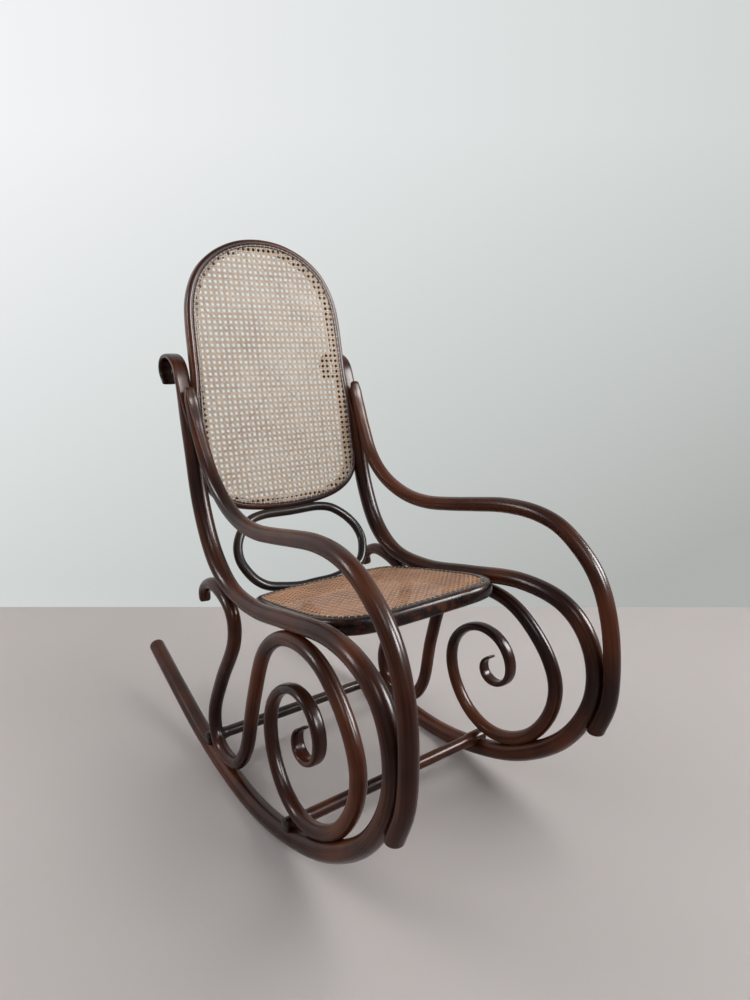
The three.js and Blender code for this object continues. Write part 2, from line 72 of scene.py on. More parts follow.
# The rods, and how much is planed off under the runners
RUNNER, REST_CUT = 0.0356, 0.0024
UPRIGHT, RAIL, FRONT_LOOP = 0.0364, 0.0316, 0.0324
SCROLL_THICK, SCROLL_WIDE = 0.0104, 0.031
ARM, ARM_TIP, LEG, CURL, CURL_TIP = 0.0286, 0.022, 0.027, 0.024, 0.008
RING_ROD, STRETCHER, STRETCHER_END, STRETCHER_PROUD = 0.020, 0.0234, 0.028, 0.013
# The rims, and the cane that lies in their rebates
BACK_RIM_WIDE, BACK_RIM_DEEP = 0.024, 0.026
SEAT_RIM_WIDE, SEAT_RIM_DEEP = 0.028, 0.0285
REBATE, CANE_THICK, GAP = 0.0024, 0.0016, 0.0003
BINDER_WIDE, BINDER_HIGH = 0.0048, 0.0020
MESH_PITCH = 0.0119
print("runners are", round(2000 * HALF_TRACK), "mm apart, centre to centre")

# %% [markdown]
# ## The lines of the rods
#
# Each rod is one list of points: share of the depth, share of the height, and sometimes how far
# the rod is tucked inwards. The side frame is one rod of about 2.4 metres, from the scroll at
# the top, down the upright, along the seat and round the front into the runner. The arm and the
# scrolled leg are shorter rods that are bent to meet it.

# %% Points along each rod
SIDE_LINE = [
    (0.859, 0.727), (0.8755, 0.7415), (0.88, 0.7587), (0.8705, 0.773), (0.847, 0.7797),
    (0.8165, 0.777), (0.7925, 0.7625), (0.78, 0.738), (0.768, 0.7015), (0.744, 0.625),
    (0.712, 0.507), (0.658, 0.421, 0.4), (0.589, 0.381, 1), (0.479, 0.373, 1),
    (0.347, 0.392, 1), (0.214, 0.41, 0.7), (0.124, 0.398), (0.077, 0.367), (0.05, 0.316),
    (0.051, 0.249), (0.102, 0.161), (0.206, 0.084), (0.329, 0.039), (0.461, 0.0185),
    (0.595, 0.0234), (0.727, 0.0433), (0.855, 0.0755), (0.98, 0.1095), (1.0337, 0.1245),
]
ARM_LINE = [
    (0.7485, 0.7245, 0.3), (0.7365, 0.69, 0.6), (0.7105, 0.635, 1), (0.678, 0.581, 1.8),
    (0.6425, 0.548, 2.2), (0.601, 0.525, 2.2), (0.539, 0.508, 2.2), (0.474, 0.505, 2.2),
    (0.404, 0.513, 2.1), (0.333, 0.524, 1.8), (0.26, 0.534, 1.2), (0.191, 0.5335, 0.5),
    (0.139, 0.521), (0.097, 0.496), (0.0635, 0.466), (0.041, 0.431), (0.0235, 0.377),
    (0.016, 0.31), (0.0195, 0.255), (0.041, 0.199),
]
LEG_LINE = [
    (0.7085, 0.3215), (0.7145, 0.34), (0.7065, 0.351), (0.692, 0.36), (0.661, 0.368),
    (0.598, 0.3555), (0.57, 0.337), (0.56, 0.315), (0.564, 0.282), (0.62, 0.195), (0.657, 0.12),
    (0.655, 0.083), (0.64, 0.062), (0.616, 0.051), (0.58, 0.05), (0.541, 0.063), (0.505, 0.106),
    (0.473, 0.217), (0.432, 0.313), (0.377, 0.355), (0.304, 0.371), (0.23, 0.358),
    (0.157, 0.302), (0.13, 0.249), (0.137, 0.195), (0.18, 0.133), (0.243, 0.096),
    (0.299, 0.089), (0.351, 0.107), (0.391, 0.149), (0.406, 0.198), (0.396, 0.241),
    (0.364, 0.275), (0.322, 0.292), (0.284, 0.29), (0.257, 0.276), (0.241, 0.254),
    (0.238, 0.23), (0.246, 0.211), (0.261, 0.199), (0.278, 0.194), (0.294, 0.196),
    (0.305, 0.203), (0.31, 0.214), (0.309, 0.225), (0.304, 0.233), (0.297, 0.239),
    (0.289, 0.242),
]
print(len(SIDE_LINE), "points on a side frame,", len(ARM_LINE), "on an arm,",
      len(LEG_LINE), "on a leg")

# %% [markdown]
# ## How thick each rod is
#
# None of these rods is equally thick all along. A row of the first tables says: at this share of
# the length, so thick in the plane of the bend, and so wide across it. The second set says how
# square the section is: 2 is a circle, and above 3 it comes close to a box with round corners.

# %% Thickness and squareness along each rod
SIDE_SIZES = [
    (0, 0.8 * SCROLL_THICK, 0.94 * SCROLL_WIDE), (0.015, SCROLL_THICK, SCROLL_WIDE),
    (0.075, SCROLL_THICK, SCROLL_WIDE), (0.13, UPRIGHT, UPRIGHT), (0.23, UPRIGHT, UPRIGHT),
    (0.28, RAIL, RAIL), (0.4, RAIL, RAIL), (0.46, FRONT_LOOP, FRONT_LOOP),
    (0.56, FRONT_LOOP, FRONT_LOOP), (0.66, RUNNER, RUNNER), (1, RUNNER, RUNNER),
]
ARM_SIZES = [
    (0, 0.55 * ARM_TIP, 0.9 * ARM_TIP), (0.025, 0.8 * ARM_TIP, 0.95 * ARM),
    (0.07, 1.12 * ARM_TIP, ARM), (0.13, ARM, ARM), (1, ARM, ARM),
]
LEG_SIZES = [
    (0, 0.8 * CURL, CURL), (0.015, CURL, CURL), (0.05, LEG, LEG), (0.7, LEG, LEG),
    (0.8, 0.8 * LEG, 0.95 * LEG), (0.9, 0.6 * LEG, 0.93 * LEG), (0.965, 0.4 * LEG, 0.92 * LEG),
    (1, 0.7 * CURL_TIP, 0.8 * LEG),
]
SIDE_BOXY = [(0, 3.6), (0.085, 3.6), (0.125, 2), (1, 2)]
ARM_BOXY = [(0, 3.2), (0.03, 3), (0.09, 2.2), (1, 2)]
LEG_BOXY = [(0, 2.3), (0.05, 2.1), (0.75, 2), (0.86, 2.3), (0.93, 2.8), (1, 3.2)]
print("a side frame is", round(1000 * SCROLL_THICK), "to", round(1000 * UPRIGHT), "mm thick")

# %% [markdown]
# ## A smooth line through points
#
# Steamed wood bends in one even sweep. A Catmull-Rom curve of the centripetal kind goes through
# every point and never makes a loop of its own between two close ones, so it suits tight scrolls
# beside long straight runs. The line is then divided into equal steps, and a light blur takes
# away the last small jumps in its curvature, because a glossy rod would show them.

# %% Lines through points
def through(points, steps, closed=False):
    """A smooth line, with this many steps from each point to the next."""
    p = np.array(points, float)
    p = np.vstack([p[-1:], p, p[:2]] if closed else [2 * p[0] - p[1], p, 2 * p[-1] - p[-2]])
    p0, p1, p2, p3 = p[:-3], p[1:-2], p[2:-1], p[3:]
    d0, d1, d2 = (np.linalg.norm(b - a, axis=1, keepdims=True) ** 0.5
                  for a, b in ((p0, p1), (p1, p2), (p2, p3)))
    t1 = ((p1 - p0) / d0 - (p2 - p0) / (d0 + d1) + (p2 - p1) / d1) * d1
    t2 = ((p2 - p1) / d1 - (p3 - p1) / (d1 + d2) + (p3 - p2) / d2) * d1
    t = (np.arange(steps) / steps)[None, :, None]
    line = (p1[:, None] + t1[:, None] * t + (-3 * p1 + 3 * p2 - 2 * t1 - t2)[:, None] * t ** 2
            + (2 * p1 - 2 * p2 + t1 + t2)[:, None] * t ** 3).reshape(-1, p.shape[1])
    return line if closed else np.vstack([line, np.array(points[-1:], float)])


def read_at(want, far, columns):
    return np.column_stack([np.interp(want, far, column) for column in columns.T])


# %% Equal steps, and a light blur
def evenly(line, count, closed=False):
    """The same line in equal steps, and its length."""
    if closed:
        line = np.vstack([line, line[:1]])
    far = np.r_[0, np.cumsum(np.linalg.norm(np.diff(line, axis=0), axis=1))]
    return read_at(np.linspace(0, far[-1], count, endpoint=not closed), far, line), far[-1]


def soften(line, reach, closed=False):
    """Blur a line of equal steps over this many metres to each side."""
    step = np.linalg.norm(line[1] - line[0])
    half = max(1, int(3 * reach / step))
    weights = np.exp(-0.5 * (np.arange(-half, half + 1) * step / reach) ** 2)
    weights /= weights.sum()
    if closed:
        before, after = line[-half:], line[:half]
    else:
        before, after = 2 * line[0] - line[half:0:-1], 2 * line[-1] - line[-2:-half - 2:-1]
    wide = np.vstack([before, line, after])
    return np.column_stack([np.convolve(column, weights, "valid") for column in wide.T])


def unit(v):
    return v / np.linalg.norm(v, axis=-1, keepdims=True)


# %% [markdown]
# ## From a skin of points to a Blender piece
#
# Every rod and rim here is a row of rings, joined by four-sided faces. The numbers are worked out
# in numpy and handed to Blender as one mesh. Beside each point the piece keeps where that point
# lies in the wood: how far along the rod, and where in the section. The grain material reads it
# later, so the grain follows every bend as it does in bent wood.

# %% Pieces from rings of points
def make_piece(name, points, faces, grain, place=None):
    mesh = bpy.data.meshes.new(name)
    mesh.from_pydata(np.asarray(points).tolist(), [], [list(map(int, f)) for f in faces])
    mesh.shade_smooth()
    kept = mesh.attributes.new("grain", "FLOAT_VECTOR", "POINT")
    kept.data.foreach_set("vector", np.asarray(grain, np.float32).ravel())
    piece = bpy.data.objects.new(name, mesh)
    bpy.context.scene.collection.objects.link(piece)
    if place is not None:
        mesh.transform(place)
    return piece


def ring_faces(rows, count, joined):
    """Four-sided faces between rings; joined ties the last ring to the first."""
    i = np.arange(rows if joined else rows - 1)[:, None]
    j = np.arange(count)[None, :]
    a, b = i * count, ((i + 1) % rows) * count
    k = (j + 1) % count
    return np.stack([a + j, b + j, b + k, a + k], -1).reshape(-1, 4)


# %% Fix a piece to the chair
def fix(piece, node):
    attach(piece, "root")
    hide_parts(node)


def dress(piece, node):
    """Turn a closed piece's faces outward, and put it in the place of its solid."""
    work = bmesh.new()
    work.from_mesh(piece.data)
    if work.calc_volume(signed=True) < 0:
        bmesh.ops.reverse_faces(work, faces=work.faces)
    work.to_mesh(piece.data)
    work.free()
    fix(piece, node)
    return piece


# %% [markdown]
# ## Bent rods
#
# A rod's centre line lies nearly in an upright plane and leans in a little towards the top. Its
# section is a circle for most of the way, but the maker planes some stretches flat: the top
# scroll is a strip, and the ends thin out. A plain curve with a bevel has one section all along,
# so the skin is made here ring by ring, from the tables above.

# %% Centre lines of the rods
STEPS = 20
drop = 0


def rod_line(shares, side):
    """A rod's centre line, on the left side of the chair for 1 and on the right for -1."""
    points = []
    for y, z, *tuck in shares:
        climb = min(z, RAIL_SHARE) / RAIL_SHARE
        lean = climb * (LEAN_IN_FRONT + (LEAN_IN_BACK - LEAN_IN_FRONT) * y)
        points.append((side * (HALF_TRACK - lean - (tuck[0] if tuck else 0) * TUCK),
                       (y - ORIGIN_SHARE) * DEPTH, z * HEIGHT - drop))
    return through(points, STEPS)


# The first line shows how far all rods have to come down, so that the runners stand on the floor
drop = rod_line(SIDE_LINE, 1)[:, 2].min() - RUNNER / 2 + REST_CUT
print("the runners' lowest centre stands", round(1000 * (RUNNER / 2 - REST_CUT), 1), "mm up")


# %% Read a table of sizes
def along_table(table, share):
    """The table's values at each share of the length, with a soft change from row to row."""
    knots = np.array(table, float)
    i = np.clip(np.searchsorted(knots[:, 0], share, side="left"), 1, len(knots) - 1)
    f = np.clip((share - knots[i - 1, 0]) / (knots[i, 0] - knots[i - 1, 0]), 0, 1)
    f = (f * f * (3 - 2 * f))[:, None]
    return knots[i - 1, 1:] * (1 - f) + knots[i, 1:] * f


# %% Rounded ends
# Where the extra rings lie in the rounding, and how far the last one shrinks at a usual bend
END_STEPS = np.array([0, 0.03, 0.12, 0.3, 0.6])
END_SHRINK, USUAL_BEND = 0.42, 0.35


def with_round_ends(far, columns, thick, bends):
    """Add rings close to both ends, and say how large each ring is now."""
    length, share = far[-1], np.ones(len(far))
    for at_start, bend in ((True, bends[0]), (False, bends[1])):
        reach = bend * thick[0 if at_start else -1]
        spots = reach * END_STEPS
        shrunk = 1 - END_SHRINK * bend / USUAL_BEND * (1 - np.sqrt(1 - (1 - END_STEPS) ** 2))
        if at_start:
            keep = far > reach
            new_far = np.r_[spots, far[keep]]
            share = np.r_[shrunk, share[keep]]
        else:
            keep = far < length - reach
            new_far = np.r_[far[keep], length - spots[::-1]]
            share = np.r_[share[keep], shrunk[::-1]]
        far, columns = new_far, read_at(new_far, far, columns)
    return far, columns, share


# %% The skin of a rod
LEVEL_REACH = 0.03


def rod_skin(line, sizes, boxy, rings, sides, bends, blur=0.010, level=False):
    """Rings of points along a rod, and where each point lies in the wood."""
    centre, length = evenly(line, rings)
    centre = soften(centre, blur)
    far = np.linspace(0, length, rings)
    size, corner = along_table(sizes, far / length), along_table(boxy, far / length)
    along = unit(np.gradient(centre, far, axis=0))
    across = unit(np.array([1.0, 0, 0]) - along * along[:, :1])
    out = np.cross(along, across)
    columns = np.column_stack([centre, size, along, across, out, corner])
    far, columns, share = with_round_ends(far, columns, size[:, 0], bends)
    centre, size, along, across, out, corner = np.split(columns, [3, 5, 8, 11, 14], axis=1)
    angle = 2 * np.pi * np.arange(sides) / sides
    c, s = (np.sign(w) * np.abs(w) ** (2 / corner) for w in (np.cos(angle), np.sin(angle)))
    a = 0.5 * (share * size[:, 0])[:, None] * c
    b = 0.5 * (share * size[:, 1])[:, None] * s
    points = centre[:, None] + a[..., None] * out[:, None] + b[..., None] * across[:, None]
    if level:
        # The last stretch slides along the rod, so that its end is cut level
        near_end = np.clip(1 - (length - far) / LEVEL_REACH, 0, 1)[:, None]
        slide = near_end * (centre[:, None, 2] - points[..., 2]) / along[:, None, 2]
        points = points + slide[..., None] * along[:, None]
    return points, np.stack([np.repeat(far[:, None], sides, 1), a, b], -1)


# %% A rod from its skin
def make_rod(name, skin):
    """Faces all round, and one at each end; what would dip under the floor is planed flat."""
    points, grain = skin
    rows, sides = points.shape[:2]
    flat = points.reshape(-1, 3)
    flat[:, 2] = np.maximum(flat[:, 2], 0)
    faces = [*ring_faces(rows, sides, False).tolist(), list(range(sides)),
             list(range(rows * sides - 1, rows * sides - sides - 1, -1))]
    return make_piece(name, flat, faces, grain.reshape(-1, 3))


# %% The side frames, arms and scrolled legs
wooden, rods = [], {}
for name, side in (("right", -1), ("left", 1)):
    rods[name] = rod_line(SIDE_LINE, side)
    arm, leg = rod_line(ARM_LINE, side), rod_line(LEG_LINE, side)
    skins = {
        "side_frame": rod_skin(rods[name], SIDE_SIZES, SIDE_BOXY, 640, 32, (0.3, 0.16)),
        "arm": rod_skin(arm, ARM_SIZES, ARM_BOXY, 240, 28, (0.5, 0.1), level=True),
        "leg_scroll": rod_skin(leg, LEG_SIZES, LEG_BOXY, 520, 28, (0.4, 0.3), blur=0.005),
    }
    for what, skin in skins.items():
        piece = make_rod(f"bent_{what}_{name}", skin)
        wooden.append(dress(piece, f"{what}_{name}"))
        print(piece.name, "has", len(piece.data.polygons), "faces")

# %% [markdown]
# ## Where the seat, the back and the ring stand
#
# Each of these three is easiest to draw flat, face up, and then stand in its place. The place is
# a turn about the chair's cross axis and a shift, worked out from the rods that carry it: the back
# hangs between the uprights, the seat lies between the rails, and the ring joins the two.

# %% Half of each outline
# Shares of half the width and of the height or length; the other half mirrors it
BACK_OUTLINE = [
    (0, 0.58), (0.144, 0.577), (0.284, 0.568), (0.425, 0.551), (0.566, 0.526), (0.706, 0.489),
    (0.798, 0.452), (0.876, 0.402), (0.93, 0.342), (0.953, 0.272), (0.962, 0.169),
    (0.968, 0.083), (0.986, -0.005), (0.996, -0.094), (1, -0.182), (0.995, -0.253),
    (0.957, -0.315), (0.862, -0.359), (0.718, -0.39), (0.548, -0.409), (0.324, -0.421),
    (0, -0.427),
]
SEAT_OUTLINE = [
    (0, 0), (0.4, 0.003), (0.6, 0.013), (0.74, 0.039), (0.85, 0.086), (0.93, 0.152),
    (0.98, 0.232), (1, 0.31), (1, 0.38), (0.99, 0.519), (0.969, 0.652), (0.948, 0.758),
    (0.926, 0.837), (0.884, 0.903), (0.803, 0.95), (0.689, 0.971), (0.466, 0.987),
    (0.233, 0.997), (0, 1),
]
RING_OUTLINE = [
    (0, 0), (0.263, 0), (0.559, 0.046), (0.737, 0.093), (0.868, 0.187), (0.954, 0.32),
    (1, 0.46), (0.98, 0.623), (0.888, 0.781), (0.757, 0.903), (0.651, 0.964), (0.447, 1.003),
    (0.164, 1.003), (0, 1),
]
print("half outlines have", len(BACK_OUTLINE), len(SEAT_OUTLINE), len(RING_OUTLINE), "points")

# %% Places of the flat pieces
# The back hangs a little ahead of the uprights, and the seat stands a little above the rails
BACK_AHEAD_TOP, BACK_AHEAD_LOW = 0.0167, 0.0081
SEAT_RISE_FRONT, SEAT_RISE_REAR = 0.012, 0.0026


def rod_middle(number, ahead=0, rise=0):
    """A numbered point of the side frame's line, moved to the middle of the chair."""
    y, z = rods["left"][STEPS * number, 1:]
    return np.array([0, y - ahead, z + rise])


def stand(start, toward, at=None):
    turn = np.arctan2(toward[2] - start[2], toward[1] - start[1])
    return Matrix.Translation(Vector(start if at is None else at)) @ Matrix.Rotation(turn, 4, "X")


back_top_place = rod_middle(8, ahead=BACK_AHEAD_TOP)
back_place = stand(rod_middle(9, ahead=BACK_AHEAD_LOW), back_top_place, back_top_place)
seat_place = stand(rod_middle(15, rise=SEAT_RISE_FRONT), rod_middle(13, rise=SEAT_RISE_REAR))
back_low = BACK_OUTLINE[-1][1] * BACK_HEIGHT
ring_low = seat_place @ Vector((0, SEAT_LENGTH + 0.48 * RING_ROD, -0.24 * SEAT_RIM_DEEP))
ring_high = back_place @ Vector((0, back_low - 0.34 * RING_ROD, -0.13 * RING_ROD))
ring_place, ring_height = stand(ring_low, ring_high), (ring_high - ring_low).length
print("the ring is", round(1000 * ring_height), "mm high")


# %% Closed outlines, and lines set in from them
OUTLINE_STEPS, OUTLINE_BLUR = 40, 0.004


def closed_line(shares, half_width, height, count):
    half = [(x * half_width, y * height, 0) for x, y in shares]
    other = [(-x, y, z) for x, y, z in half[-2:0:-1]]
    line, length = evenly(through(half + other, OUTLINE_STEPS, True), count, True)
    return soften(line, OUTLINE_BLUR, True), length


def set_in(line, inward):
    """The outline moved inwards by the same distance everywhere."""
    ahead = np.roll(line, -1, 0) - np.roll(line, 1, 0)
    side = unit(np.column_stack([-ahead[:, 1], ahead[:, 0], 0 * ahead[:, 0]]))
    if (side * (line.mean(0) - line)).sum() < 0:
        side = -side
    return line + side * inward


back_line, back_length = closed_line(BACK_OUTLINE, BACK_WIDTH / 2, BACK_HEIGHT, 360)
seat_line, seat_length = closed_line(SEAT_OUTLINE, SEAT_WIDTH / 2, SEAT_LENGTH, 320)
ring_line, ring_length = closed_line(RING_OUTLINE, RING_WIDTH / 2, ring_height, 240)
print("round the back:", round(back_length, 2), "m; round the seat:", round(seat_length, 2), "m")

# %% [markdown]
# ## The two rims and the oval ring
#
# A rim is one bent bar with its ends joined. Its outer half stays proud and rounded; its inner
# half is cut a little lower, and there the cane lies and is glued under a bead. Going round the
# outline with this one section makes the whole rim. The ring is a plain round rod, closed on
# itself. A Blender curve with a bevel shape would do as well; rings of points are used again, so
# that each point knows its place in the grain.

# %% Sections of the rims and the ring
# Shares of the rim's width and depth; "step" is where the rebate for the cane is cut
RIM_SECTION = [
    (0, 0.5), (0, 0.34), (0.02, 0.23), (0.06, 0.13), (0.12, 0.06), (0.2, 0.015), (0.3, 0),
    (0.42, 0), (0.475, 0.012), (0.495, 0.045), (0.5, "step"), (0.6, "step"), (0.85, "step"),
    (0.96, "step"), (1, 0.14), (1, 0.5), (1, 0.75), (0.97, 0.86), (0.9, 0.95), (0.78, 1),
    (0.5, 1), (0.28, 1), (0.14, 0.96), (0.05, 0.87), (0.01, 0.74),
]


def rim_section(wide, deep):
    return [(x * wide, REBATE if y == "step" else y * deep) for x, y in RIM_SECTION]


back_section = rim_section(BACK_RIM_WIDE, BACK_RIM_DEEP)
seat_section = rim_section(SEAT_RIM_WIDE, SEAT_RIM_DEEP)
ring_section = [(0.5 * RING_ROD * np.cos(a), 0.5 * RING_ROD * np.sin(a))
                for a in np.linspace(0, 2 * np.pi, 24, endpoint=False)]
print("a rim's section has", len(RIM_SECTION), "points, the ring's", len(ring_section))


# %% Sections swept round an outline
def swept(name, line, length, section, place):
    """Each point of a section is how far it lies in from the outline, and how deep."""
    rings = np.stack([set_in(line, inward) + np.array([0, 0, -depth])
                      for inward, depth in section], 1)
    rows, count = rings.shape[:2]
    far = np.repeat(np.linspace(0, length, rows, endpoint=False)[:, None], count, 1)
    grain = np.concatenate([far[..., None], np.array(section)[None].repeat(rows, 0)], -1)
    faces = ring_faces(rows, count, True)
    return make_piece(name, rings.reshape(-1, 3), faces, grain.reshape(-1, 3), place)


for name, node, line, length, section, place in (
        ("back_rim", "back_frame", back_line, back_length, back_section, back_place),
        ("seat_rim", "seat_frame", seat_line, seat_length, seat_section, seat_place),
        ("oval_ring", "back_ring", ring_line, ring_length, ring_section, ring_place)):
    wooden.append(dress(swept(name, line, length, section, place), node))
    print(name, [round(1000 * v) for v in wooden[-1].dimensions])

# %% [markdown]
# ## The stretchers
#
# Two straight round bars tie the runners together. They lie on top of the runners and reach a
# little past them. The bar is turned: its ends are thicker and have a small rounded edge. A
# plain cylinder has one thickness, so the bar is made of rings too, from a short table.

# %% Two turned bars
# Metres from the bar's end, and how thick the bar is there, as a share of its thick end
BAR_END = [(0, 0.8), (0.0004, 0.88), (0.0014, 0.95), (0.003, 0.99), (0.005, 1), (0.034, 1),
           (0.038, 0.99), (0.042, 0.93), (0.046, 0.87), (0.05, 0.84)]
THIN_FROM, THIN_ON = 0.054, 0.07
# The bar is let into the runner, which starts at this point of the side frame's line
BAR_SUNK, RUNNER_POINT, BAR_SIDES = 0.009, 20, 32


def stretcher(name, share):
    y = (share - ORIGIN_SHARE) * DEPTH
    runner = rods["left"][STEPS * RUNNER_POINT:]
    x, _, z = runner[np.abs(runner[:, 1] - y).argmin()]
    half = x + STRETCHER_PROUD
    height = z + (RUNNER + STRETCHER_END) / 2 - BAR_SUNK
    thick = STRETCHER_END / STRETCHER
    far = np.array([*(at for at, _ in BAR_END), THIN_FROM, *np.linspace(THIN_ON, half, 10)[:-1]])
    scale = np.array([*(share for _, share in BAR_END), *[1 / thick] * 10]) * thick
    far, scale = np.r_[far - half, 0, half - far[::-1]], np.r_[scale, 1, scale[::-1]]
    angle = np.linspace(0, 2 * np.pi, BAR_SIDES, endpoint=False)
    ring = 0.5 * STRETCHER * np.column_stack([np.cos(angle), np.sin(angle)])
    grain = np.stack([np.column_stack([np.full(BAR_SIDES, f), s * ring])
                      for f, s in zip(far, scale)])
    return make_rod(name, (grain + [0, y, height], grain))


for name, share in (("front", 0.3275), ("rear", 0.672)):
    wooden.append(dress(stretcher(f"{name}_bar", share), f"{name}_stretcher"))
    print(name, "bar is", round(1000 * wooden[-1].dimensions.x), "mm long")

# %% [markdown]
# ## The cane mesh
#
# Cane is the shiny skin of rattan, split into strips a few millimetres wide. The mesh has six
# ways: pairs of strands up, pairs across, and single strands along both diagonals, which cut the
# corners of the squares and leave eight-sided holes. A picture of holes on a flat plate would go
# flat when the light grazes it, so each strand is a real strip here, which dips under and climbs
# over its neighbours. Each strip is cut where it meets the edge of the cane.

# %% One strip of cane
def strip_grain(far, half, number):
    """Beside each point of a strip: how far along it, where across it, and which strip."""
    return np.stack([np.column_stack([far, np.full(len(far), v), np.full(len(far), number)])
                     for v in (-half, 0, half, 0)], 1).reshape(-1, 3)


def strip(points, width, thick, number):
    along = unit(np.gradient(points, axis=0))
    side = unit(np.cross(along, [0, 0, 1.0]))
    w, h = side * width / 2, np.cross(side, along) * thick / 2
    rings = np.stack([points - w, points + h, points + w, points - h], 1)
    far = np.r_[0, np.cumsum(np.linalg.norm(np.diff(points, axis=0), axis=1))]
    return (rings.reshape(-1, 3), ring_faces(len(points), 4, False),
            strip_grain(far, width / 2, number))


def laid_together(strips):
    """The points, faces and grain of many strips as one mesh."""
    points, faces, grain = zip(*strips)
    before = np.cumsum([0, *(len(p) for p in points[:-1])])
    return np.vstack(points), np.vstack([f + n for f, n in zip(faces, before)]), np.vstack(grain)


# %% Where a strip starts and ends
SHORTEST = 0.003


def crossings(start, heading, outline):
    """Where a straight line enters and leaves a closed outline, as distances along it."""
    off = (outline[:, :2] - start) @ np.array([-heading[1], heading[0]])
    far = (outline[:, :2] - start) @ heading
    off2, far2 = np.roll(off, -1), np.roll(far, -1)
    cross = (off > 0) != (off2 > 0)
    f = off[cross] / (off[cross] - off2[cross])
    cut = np.sort(far[cross] + f * (far2[cross] - far[cross]))
    return [(a, b) for a, b in zip(cut[::2], cut[1::2]) if b - a > SHORTEST]


# %% The six ways of the weave
# How far each strand of a pair lies from their middle line, in strand widths; how far a strand
# climbs, as a share of the room that it has; and the direction of the diagonals
PAIR_SHIFT, PAIR_LIFT, SLANT_LIFT = 0.62, 0.45, 0.8
SLANT = 0.5 ** 0.5


def pair_wave(k, sign):
    return lambda t: sign * np.cos(np.pi * (t / MESH_PITCH + k))


def slant_wave(k, sign, lean):
    return lambda t: sign * np.cos(2 * np.pi * ((k + 0.5) + lean * t * SLANT / MESH_PITCH))


def six_ways(width, reach):
    """Each run of the weave: start, heading, step, wave up and down, and its height."""
    p, runs = MESH_PITCH, []
    half = np.ceil(reach / p) + 2
    for k in np.arange(-half, half + 1):
        for twin in (-1, 1):
            shift = k * p + twin * PAIR_SHIFT * width
            runs.append(((shift, 0), (0, 1), p / 2, pair_wave(k, twin), PAIR_LIFT))
            runs.append(((0, shift), (1, 0), p / 2, pair_wave(k, -twin), PAIR_LIFT))
    for k in np.arange(-2 * half, 2 * half + 1):
        for lean in (1, -1):
            runs.append((((k + 0.5) * p, 0), (lean * SLANT, SLANT), p * SLANT / 2,
                         slant_wave(k, -lean, lean), SLANT_LIFT))
    return runs


# %% All the strips of one panel
BACK_STRIP, SEAT_STRIP = 0.0024, 0.0033
BACK_STRIP_THICK, SEAT_STRIP_THICK = 0.00062, 0.0011
SWAY, UNEVEN = 0.00012, 0.06


def weave(name, outline, place, width, thick, seed):
    rng = np.random.default_rng(seed)
    middle_height = -REBATE + GAP + CANE_THICK / 2
    low, high = outline[:, :2].min(0), outline[:, :2].max(0)
    origin = np.array([0, (low[1] + high[1]) / 2])
    strips = []
    for start, heading, step, wave, lift in six_ways(width, (high - low).max()):
        start, heading = origin + start, np.array(heading, float)
        aside = np.array([-heading[1], heading[0]])
        for a, b in crossings(start, heading, outline):
            marks = np.arange(np.ceil(a / step + 0.25), np.floor(b / step - 0.25) + 1) * step
            t = np.r_[a, marks, b]
            sway = SWAY * rng.standard_normal(len(t))
            z = middle_height + (CANE_THICK / 2 - thick / 2) * lift * wave(t)
            xy = start + t[:, None] * heading + sway[:, None] * aside
            wide = width * (1 + UNEVEN * rng.standard_normal())
            strips.append(strip(np.column_stack([xy, z]), wide, thick, len(strips)))
    piece = make_piece(name, *laid_together(strips), place)
    print(name, "has", len(strips), "strips and", len(piece.data.polygons), "faces")
    return piece


# %% The back's panel and the seat's
back_cane = weave("back_mesh", set_in(back_line, BACK_RIM_WIDE / 2 + 2 * GAP), back_place,
                  BACK_STRIP, BACK_STRIP_THICK, seed=3)
seat_cane = weave("seat_mesh", set_in(seat_line, SEAT_RIM_WIDE / 2 + 2 * GAP), seat_place,
                  SEAT_STRIP, SEAT_STRIP_THICK, seed=5)
for piece, node in ((back_cane, "back_cane"), (seat_cane, "seat_cane")):
    fix(piece, node)

# %% [markdown]
# ## The bead along the cane's edge
#
# A wider strip of cane covers the cut edge of the mesh. Thin loops hold it down, one at each
# step of the mesh. From a distance it reads as a fine dotted line. Painted dots would have no
# height in a low view, so the strip is swept round the outline, and each loop is a small arch.

# %% One loop over the bead
BEAD_FLOOR = -REBATE + CANE_THICK + 2 * GAP
BEAD_RISE, LOOP_RISE, LOOP_REACH = 0.72, 0.9, 0.52
LOOP_HALF, LOOP_GRAIN_HALF, LOOP_SKIN, LOOP_LENGTH = 0.0011, 0.001, 0.0002, 0.008
ARCH = np.linspace(0, np.pi, 9)


def loop(centre, ahead, number):
    out, up = np.array([-ahead[1], ahead[0], 0]), np.array([0, 0, 1.0])
    arch = np.array([centre + out * LOOP_REACH * BINDER_WIDE * np.cos(a)
                     + up * (LOOP_RISE * BINDER_HIGH * np.sin(a)) for a in ARCH])
    w = LOOP_HALF * ahead
    lift = unit(arch - centre + LOOP_SKIN * up) * LOOP_SKIN
    rings = np.stack([arch - w - lift, arch + lift, arch + w - lift, arch - 2 * lift], 1)
    far = np.linspace(0, LOOP_LENGTH, len(ARCH))
    return (rings.reshape(-1, 3), ring_faces(len(ARCH), 4, False),
            strip_grain(far, LOOP_GRAIN_HALF, number + 0.5))


